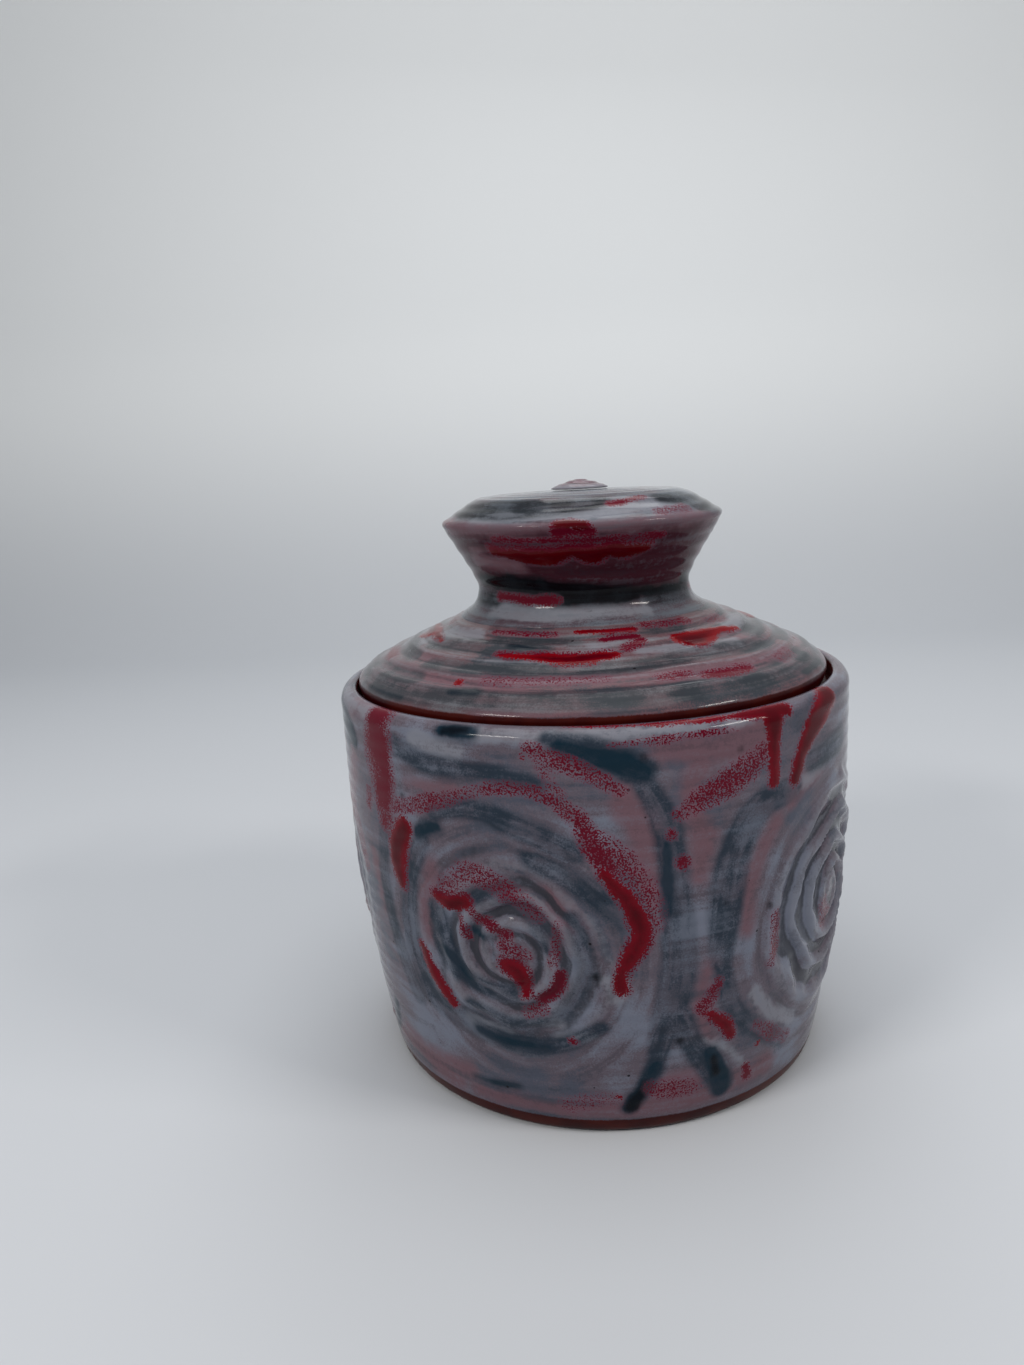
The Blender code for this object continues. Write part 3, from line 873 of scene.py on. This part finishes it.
def knob_piece():
    """The hollow knob: pale top and shoulder, plum flare with red runs, dark neck."""
    skin = Skin("lid_knob", LID_COLUMNS, KNOB_SHOWN, KNOB_ROWS, flared_foot)
    spiral = skin.rings(*KNOB_SPIRAL)
    rings = skin.rings(*KNOB_RINGS)
    face = span(skin.travel, *KNOB_FACE)
    rest = (1 - face) * span(skin.travel, *KNOB_SIDE)
    flare = span(skin.travel, *KNOB_FLARE)
    strokes = (KNOB_RED, KNOB_NAVY, KNOB_SLATE, KNOB_PALE, KNOB_PINK)
    fields = stroke_fields(skin, LID_REPEATS, *strokes) | level_brushing(skin, KNOB_STREAKS)
    red_runs = ease(fields["red"], *LID_RED_EDGE) * ease(skin.travel, *KNOB_RED_START)
    relief = KNOB_SPIRAL_HEIGHT * face * (spiral - 1) + KNOB_RING_HEIGHT * rest * rings
    relief = relief + KNOB_RED_HEIGHT * red_runs
    fields |= {
        "ridge": KNOB_SPIRAL_RIDGE * face * spiral + KNOB_RING_RIDGE * rest * rings,
        "tone": KNOB_PALENESS - KNOB_PLUM * flare + skin.rough(KNOB_TONE_LUMPS),
        "clay": np.full(skin.shape, FAR),
    }
    piece = skin_object("knob_cup", skin, relief, fields, Glaze("knob_glaze", KNOB_TONES))
    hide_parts("lid_knob")
    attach(piece, "lid")


# The button on the knob
BUTTON_EDGE = 0.4
BUTTON_FULLNESS = 1.9
BUTTON_SHOWN = (0, 12)
BUTTON_TOP = ((1, 3), (7, 9))
BUTTON_SPIRAL = (3.6, (), 1)
BUTTON_SPIRAL_HEIGHT = 0.10
BUTTON_SPIRAL_RIDGE = 0.5
BUTTON_PALE = 8.5
BUTTON_PALE_LUMPS = (1.0, 3, 61)
BUTTON_PINK = 3.0
BUTTON_RED = 0.3
BUTTON_RED_RING = 3.0
BUTTON_RED_WIDTH = 4.0
BUTTON_STREAKS = (1.2, 9)
BUTTON_TONE = 0.12


def rounded_button(outline):
    """The button's outline with a fuller, rounder top."""
    base = outline[:, 1].min()
    rise = np.ptp(outline[:, 1])
    share = outline[:, 0] / outline[:, 0].max()
    is_top = outline[:, 1] > base + BUTTON_EDGE
    full = base + BUTTON_EDGE + (rise - BUTTON_EDGE) * (1 - share ** BUTTON_FULLNESS)
    return np.column_stack((outline[:, 0], np.where(is_top, np.maximum(full, outline[:, 1]), outline[:, 1])))


def button_piece():
    """The small nub on the knob."""
    skin = Skin("knob_button", BUTTON_COLUMNS, BUTTON_SHOWN, BUTTON_ROWS, rounded_button)
    spiral = skin.rings(*BUTTON_SPIRAL)
    relief = BUTTON_SPIRAL_HEIGHT * span(skin.travel, *BUTTON_TOP) * (spiral - 1)
    red_ring = np.clip(1 - np.abs(skin.travel - BUTTON_RED_RING) / BUTTON_RED_WIDTH, 0, 1)
    absent = dict.fromkeys(("slate", "navy", "ink", "red", "clay"), np.full(skin.shape, FAR))
    fields = level_brushing(skin, BUTTON_STREAKS) | absent | {
        "bristle": skin.vectors(0, 0, 0),
        "pale": skin.travel - BUTTON_PALE + skin.rough(BUTTON_PALE_LUMPS),
        "pink": np.full(skin.shape, BUTTON_PINK),
        "speck": BUTTON_RED * red_ring,
        "ridge": BUTTON_SPIRAL_RIDGE * spiral,
        "tone": np.full(skin.shape, BUTTON_TONE),
    }
    piece = skin_object("knob_nub", skin, relief, fields, Glaze("nub_glaze", KNOB_TONES))
    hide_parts("knob_button")
    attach(piece, "lid")


# Glaze

JAR_TONES = {
    "dark": paint(80, 84, 98),
    "middle": paint(97, 88, 98),
    "light": paint(113, 118, 133),
    "slate": paint(58, 68, 81),
    "deep": paint(34, 47, 60),
    "navy": paint(12, 38, 52),
    "red": paint(106, 3, 22),
}
LID_TONES = {
    "dark": paint(62, 66, 74),
    "middle": paint(104, 78, 84),
    "light": paint(112, 112, 119),
    "slate": paint(66, 70, 76),
    "deep": paint(50, 55, 61),
    "navy": paint(24, 34, 44),
    "red": paint(122, 6, 16),
}
KNOB_TONES = {
    "dark": paint(64, 30, 40),
    "middle": paint(84, 66, 75),
    "light": paint(98, 104, 114),
    "slate": paint(38, 46, 52),
    "deep": paint(18, 24, 29),
    "navy": paint(5, 6, 10),
    "red": paint(80, 2, 8),
}
INK_GLAZE = paint(1, 5, 14)
# Dark in the grooves of the relief, partly painted shade there, and the colour of the dark streaks
GROOVE_SHADE_AND_STREAK_GLAZE = paint(48, 50, 58)
# Pale glaze, also used as the painted highlight on crests
PALE_GLAZE = paint(130, 132, 142)
PINK_GLAZE = paint(110, 82, 91)
HAZE_GLAZE = paint(134, 108, 126)
RED_WASH = paint(104, 42, 60)
RED_DEEP = paint(74, 0, 12)
RED_SPRAY = paint(92, 8, 30)
CLAY_LIGHT = paint(68, 17, 12)
CLAY_DARK = paint(48, 6, 9)
IRON_SPECK = paint(14, 8, 12)

# The glaze's noises: the size of their lumps in mm, and their detail
GLAZE_NOISES = {"grain": (0.5, 1), "fray": (1.8, 2), "wander": (6, 2), "cloud": (13, 3), "haze": (36, 2)}
BRUSH_NOISES = ("bristle", "level", "ring")
BRUSH_DETAIL = 3
EDGE_NOISE = {"fray": 1.4, "wander": 4.0, "cloud": 3.0}
GROUND_NOISE = {"streak": 0.5, "cloud": 0.5, "haze": 0.7, "grain": 0.25}
WORN_NOISE = {"streak": 1.0, "fray": 0.4, "grain": 0.25}
NAVY_NOISE = {"edge": 0.6, "bristle": 1.5}

# Coats of glaze: the noises that make each uneven, where it begins and is full, and how well it covers there
COATS = {
    "middle": (GROUND_NOISE, -0.16, 0.02, 1.0),
    "light": (GROUND_NOISE, 0.0, 0.24, 1.0),
    "pink": ({"edge": 1.0, "streak": 6.0}, -3.0, 2.4, 0.9),
    # Grooves and crests: glaze pooling and breaking on the relief, partly painted shade in grooves and
    # painted highlight on crests
    "groove": ({"fray": 0.8}, 0.1, 0.8, 0.85),
    "crest": ({"fray": 0.8}, 0.1, 0.8, 0.4),
    "pale": ({"edge": 1.0, "streak": 4.0}, -1.6, 1.2, 0.75),
    "thin": ({"bristle": 0.6, "cloud": 0.8, "wander": 0.4, "grain": 0.2}, -0.112, 0.168, 1.0),
    "slate": ({"edge": 0.6, "bristle": 1.2}, -2.5, 0.5, 1.0),
    "worn": (WORN_NOISE, 0.0, 0.24, 0.28),
    "shaded": (WORN_NOISE, -0.02, -0.22, 0.3),
    "halo": (NAVY_NOISE, -2.2, 0.4, 0.6),
    "navy": (NAVY_NOISE, -0.5, 0.8, 0.92),
    "ink": ({"edge": 0.5}, -1.2, 1.2, 0.9),
    "iron": ({}, 0.05, 0.035, 0.85),
    "haze": ({}, 0.0, 0.3, 0.15),
    "wash": ({"fray": 0.3}, 0.1, 0.8, 0.85),
    "spray": ({"fray": 0.3}, 0.52, 0.74, 1.0),
    "core": ({"fray": 1.2, "grain": 3.0}, 0.0, 0.5, 1.0),
    "thick": ({"cloud": 6.0}, 0.0, 3.5, 1.0),
    "clay": ({"grain": 0.8}, -0.3, 0.3, 1.0),
    "dark_clay": ({"cloud": 1.0}, -0.15, 0.15, 1.0),
}
SLATE_COVER = 0.92
SLATE_THINNING = -0.42
IRON_SPACING = 11
SPRAY_GRAIN = 14.0

# Gloss and slight waves of the surface
GLAZE_SPECULAR = 0.10
GLAZE_ROUGHNESS = 0.10
CLAY_ROUGHNESS = 0.2
GLOSS_NOISE = {"cloud": 0.10}
WAVE_NOISE = {"cloud": 3.0, "wander": 1.0}
WAVE_STRENGTH = 0.2
WAVE_HEIGHT = 0.15 * MM
RED_WAVE = 0.4


class Nodes:
    """Short ways to add nodes to one tree."""

    def __init__(self, tree):
        self.tree = tree

    def feed(self, socket, value):
        """Links a socket to another one, or sets it to a number or a colour."""
        if isinstance(value, bpy.types.NodeSocket):
            self.tree.links.new(value, socket)
        elif isinstance(value, tuple):
            socket.default_value = (*value, 1.0)
        else:
            socket.default_value = value

    def node(self, kind, output, inputs, **settings):
        """An output of a new node, with these settings and with values for its inputs."""
        made = self.tree.nodes.new("ShaderNode" + kind)
        for setting, value in settings.items():
            setattr(made, setting, value)
        for name, value in inputs.items():
            self.feed(made.inputs[name], value)
        return made.outputs[output]

    def field(self, name, output="Fac"):
        return self.node("Attribute", output, {}, attribute_name=name)

    def place(self):
        return self.node("TexCoord", "Object", {})

    def noise(self, place, lump, detail):
        """Noise of about -0.2 to 0.2, with lumps of that size in the units of the place."""
        fraction = self.node("TexNoise", "Fac", {"Vector": place, "Scale": 1 / lump, "Detail": detail})
        return self.math("SUBTRACT", fraction, 0.5)

    def math(self, operation, first, second):
        return self.node("Math", 0, {0: first, 1: second}, operation=operation)

    def times(self, first, second):
        return self.math("MULTIPLY", first, second)

    def total(self, first, *others):
        for other in others:
            first = self.math("ADD", first, other)
        return first

    def step(self, value, low, high):
        ends = {"Value": value, "From Min": low, "From Max": high}
        return self.node("MapRange", "Result", ends, interpolation_type="SMOOTHSTEP")

    def blend(self, share, first, second):
        """A colour between two colours."""
        return self.node("Mix", 2, {0: share, 6: first, 7: second}, data_type="RGBA")

    def between(self, share, first, second):
        """A number between two numbers."""
        return self.total(first, self.times(share, self.math("SUBTRACT", second, first)))


class Shader(Nodes):
    """The nodes of a new material."""

    def __init__(self, name):
        self.material = bpy.data.materials.new(name)
        self.material.use_nodes = True
        super().__init__(self.material.node_tree)
        self.surface = self.tree.nodes["Principled BSDF"].inputs


class Glaze(Shader):
    """Coats of run glaze, from the washed ground up to the red, and bare clay."""

    def __init__(self, name, tones):
        super().__init__(name)
        self.tones = tones
        self.spot = self.place()
        self.noises = {}
        for grade, (size, detail) in GLAZE_NOISES.items():
            self.noises[grade] = self.noise(self.spot, size * MM, detail)
        for brush in BRUSH_NOISES:
            self.noises[brush] = self.noise(self.field(brush, "Vector"), 1.0, BRUSH_DETAIL)
        self.noises["streak"] = self.between(self.field("rose"), self.noises["level"], self.noises["ring"])
        self.noises["edge"] = self.uneven(EDGE_NOISE)
        self.thin = self.share("thin")
        colour = self.dark_strokes(self.washes(self.ground()))
        self.finish(*self.reds(colour))

    def uneven(self, amounts, *values):
        """Values added up, with these amounts of the glaze's noises."""
        terms = [self.times(self.noises[name], amount) for name, amount in amounts.items()]
        return self.total(*values, *terms)

    def share(self, coat, *values):
        """How much of a coat shows, from 0 to 1, where values added up say how far inside it a place is."""
        amounts, begin, full, cover = COATS[coat]
        return self.times(self.step(self.uneven(amounts, *values), begin, full), cover)

    def ground(self):
        """Three tones that run into each other, pink washes, and glaze that pools dark in grooves and breaks
        pale on crests, partly painted shade in the grooves and painted highlight on the crests.
        """
        tone = self.field("tone")
        ridge = self.field("ridge")
        colour = self.blend(self.share("middle", tone), self.tones["dark"], self.tones["middle"])
        colour = self.blend(self.share("light", tone), colour, self.tones["light"])
        colour = self.blend(self.share("pink", self.field("pink")), colour, PINK_GLAZE)
        # Painted shade in the grooves and painted highlight on the crests, over glaze that pools and breaks
        # there
        colour = self.blend(self.share("groove", self.times(ridge, -1.0)), colour, GROOVE_SHADE_AND_STREAK_GLAZE)
        return self.blend(self.share("crest", ridge), colour, PALE_GLAZE)

    def washes(self, colour):
        """Pale washes, which on the jar's rim crown hold a painted highlight, and slate washes, thin in
        places, and then all of it worn pale and shaded in streaks.
        """
        colour = self.blend(self.share("pale", self.field("pale")), colour, PALE_GLAZE)
        cover = self.total(SLATE_COVER, self.times(self.thin, SLATE_THINNING))
        slate = self.times(self.share("slate", self.field("slate")), cover)
        colour = self.blend(slate, colour, self.blend(self.thin, self.tones["deep"], self.tones["slate"]))
        colour = self.blend(self.share("worn"), colour, self.tones["light"])
        return self.blend(self.share("shaded"), colour, GROOVE_SHADE_AND_STREAK_GLAZE)

    def dark_strokes(self, colour):
        """Navy strokes with a thinner halo, ink, and specks of iron all over."""
        navy = self.field("navy")
        navy_tone = self.blend(self.thin, self.tones["navy"], self.tones["deep"])
        colour = self.blend(self.share("halo", navy), colour, self.tones["deep"])
        colour = self.blend(self.share("navy", navy), colour, navy_tone)
        colour = self.blend(self.share("ink", self.field("ink")), colour, INK_GLAZE)
        specks = self.node("TexVoronoi", "Distance", {"Vector": self.spot, "Scale": 1 / (IRON_SPACING * MM)})
        return self.blend(self.share("iron", specks), colour, IRON_SPECK)

    def reds(self, colour):
        """Red, solid where it ran thick, thinning out through fine specks into a wash, and where it lies."""
        cover = self.field("speck")
        solid = self.field("red")
        thinning = self.times(cover, self.math("SUBTRACT", 1.0, cover))
        loose = self.times(self.times(self.noises["grain"], thinning), SPRAY_GRAIN)
        spray = self.share("spray", cover, loose)
        core = self.share("core", solid)
        colour = self.blend(self.share("haze", cover), colour, HAZE_GLAZE)
        colour = self.blend(self.share("wash", cover, loose), colour, RED_WASH)
        colour = self.blend(spray, colour, RED_SPRAY)
        colour = self.blend(core, colour, self.blend(self.share("thick", solid), self.tones["red"], RED_DEEP))
        return colour, self.math("MAXIMUM", core, spray)

    def finish(self, colour, red):
        """Bare clay at the foot, under the lid's lip and inside the rim, and the gloss and waves of all."""
        clay = self.share("clay", self.field("clay"))
        clay_tone = self.blend(self.share("dark_clay"), CLAY_LIGHT, CLAY_DARK)
        roughness = self.uneven(GLOSS_NOISE, GLAZE_ROUGHNESS, self.times(clay, CLAY_ROUGHNESS))
        height = self.uneven(WAVE_NOISE, self.times(red, RED_WAVE))
        waves = {"Height": height, "Strength": WAVE_STRENGTH, "Distance": WAVE_HEIGHT}
        self.feed(self.surface["Base Color"], self.blend(clay, colour, clay_tone))
        self.feed(self.surface["Roughness"], roughness)
        self.feed(self.surface["Specular IOR Level"], GLAZE_SPECULAR)
        self.feed(self.surface["Normal"], self.node("Bump", "Normal", waves))


# Stage, light and camera

def add_stage():
    """A pale paper sweep: a floor that bends up behind the jar, with painted light making the paper lighter
    up the wall.
    """
    bend = np.linspace(0, math.pi / 2, SWEEP_STEPS).tolist()
    line = [(SWEEP_FRONT, 0.0)]
    line += [(SWEEP_BACK + SWEEP_BEND * math.sin(a), SWEEP_BEND * (1 - math.cos(a))) for a in bend]
    line.append((SWEEP_BACK + SWEEP_BEND, SWEEP_HEIGHT))
    places = [(side * SWEEP_HALF_WIDTH, y, z) for y, z in line for side in (-1, 1)]
    faces = [(2 * i, 2 * i + 1, 2 * i + 3, 2 * i + 2) for i in range(len(line) - 1)]
    mesh = bpy.data.meshes.new("sweep")
    mesh.from_pydata(places, [], faces)
    mesh.polygons.foreach_set("use_smooth", [True] * len(mesh.polygons))
    sweep = bpy.data.objects.new("sweep", mesh)
    bpy.context.collection.objects.link(sweep)
    shader = Shader("paper")
    # Painted light: the paper turns lighter from the floor up the wall
    rise = shader.step(shader.node("SeparateXYZ", "Z", {"Vector": shader.place()}), *FLOOR_TO_PAINTED_LIGHT_WALL)
    shader.feed(shader.surface["Base Color"], shader.blend(rise, FLOOR_COLOUR, WALL_COLOUR_WITH_PAINTED_LIGHT))
    shader.feed(shader.surface["Roughness"], PAPER_ROUGHNESS)
    shader.feed(shader.surface["Specular IOR Level"], PAPER_SPECULAR)
    mesh.materials.append(shader.material)


def add_lamp(name, place, width, height, power, colour):
    """A soft lamp that faces the jar."""
    lamp = bpy.data.lights.new(name, "AREA")
    lamp.shape = "RECTANGLE"
    lamp.size = width
    lamp.size_y = height
    lamp.energy = power
    lamp.color = colour
    holder = bpy.data.objects.new(name, lamp)
    aim = Vector(LAMP_TARGET) - Vector(place)
    holder.location = place
    holder.rotation_euler = aim.to_track_quat("-Z", "Y").to_euler()
    bpy.context.collection.objects.link(holder)


def add_light():
    """Soft light from all round, a lamp overhead, two at the front and a weak one behind."""
    world = bpy.data.worlds.new("studio")
    world.use_nodes = True
    nodes = Nodes(world.node_tree)
    background = nodes.tree.nodes["Background"].inputs
    path = nodes.tree.nodes.new("ShaderNodeLightPath").outputs
    shows = path["Is Camera Ray"]
    for ray in ("Is Glossy Ray", "Is Transmission Ray"):
        shows = nodes.math("MAXIMUM", shows, path[ray])
    levels = {"Value": shows, "To Min": WORLD_STRENGTH, "To Max": WORLD_SEEN}
    nodes.feed(background["Color"], WORLD_COLOUR)
    nodes.feed(background["Strength"], nodes.node("MapRange", "Result", levels))
    bpy.context.scene.world = world
    for lamp in LAMPS:
        add_lamp(*lamp)


def add_camera():
    """The photograph's camera, turned by its yaw, pitch and roll."""
    lens = bpy.data.cameras.new("camera")
    lens.sensor_fit = "HORIZONTAL"
    lens.sensor_width = SENSOR_WIDTH
    lens.lens = SENSOR_WIDTH * FOCAL_LENGTH_PX / IMAGE_WIDTH_PX
    lens.clip_start = CAMERA_CLIP
    turn = Matrix.Rotation(-CAMERA_YAW, 4, "Z") @ Matrix.Rotation(math.pi / 2 - CAMERA_PITCH, 4, "X")
    turn = turn @ Matrix.Rotation(CAMERA_ROLL, 4, "Z")
    camera = bpy.data.objects.new("camera", lens)
    camera.matrix_world = Matrix.Translation(CAMERA_PLACE) @ turn
    bpy.context.collection.objects.link(camera)
    bpy.context.scene.camera = camera


jar_piece()
dome_piece()
knob_piece()
button_piece()
add_stage()
add_light()
add_camera()
bpy.context.scene.view_settings.view_transform = "Standard"
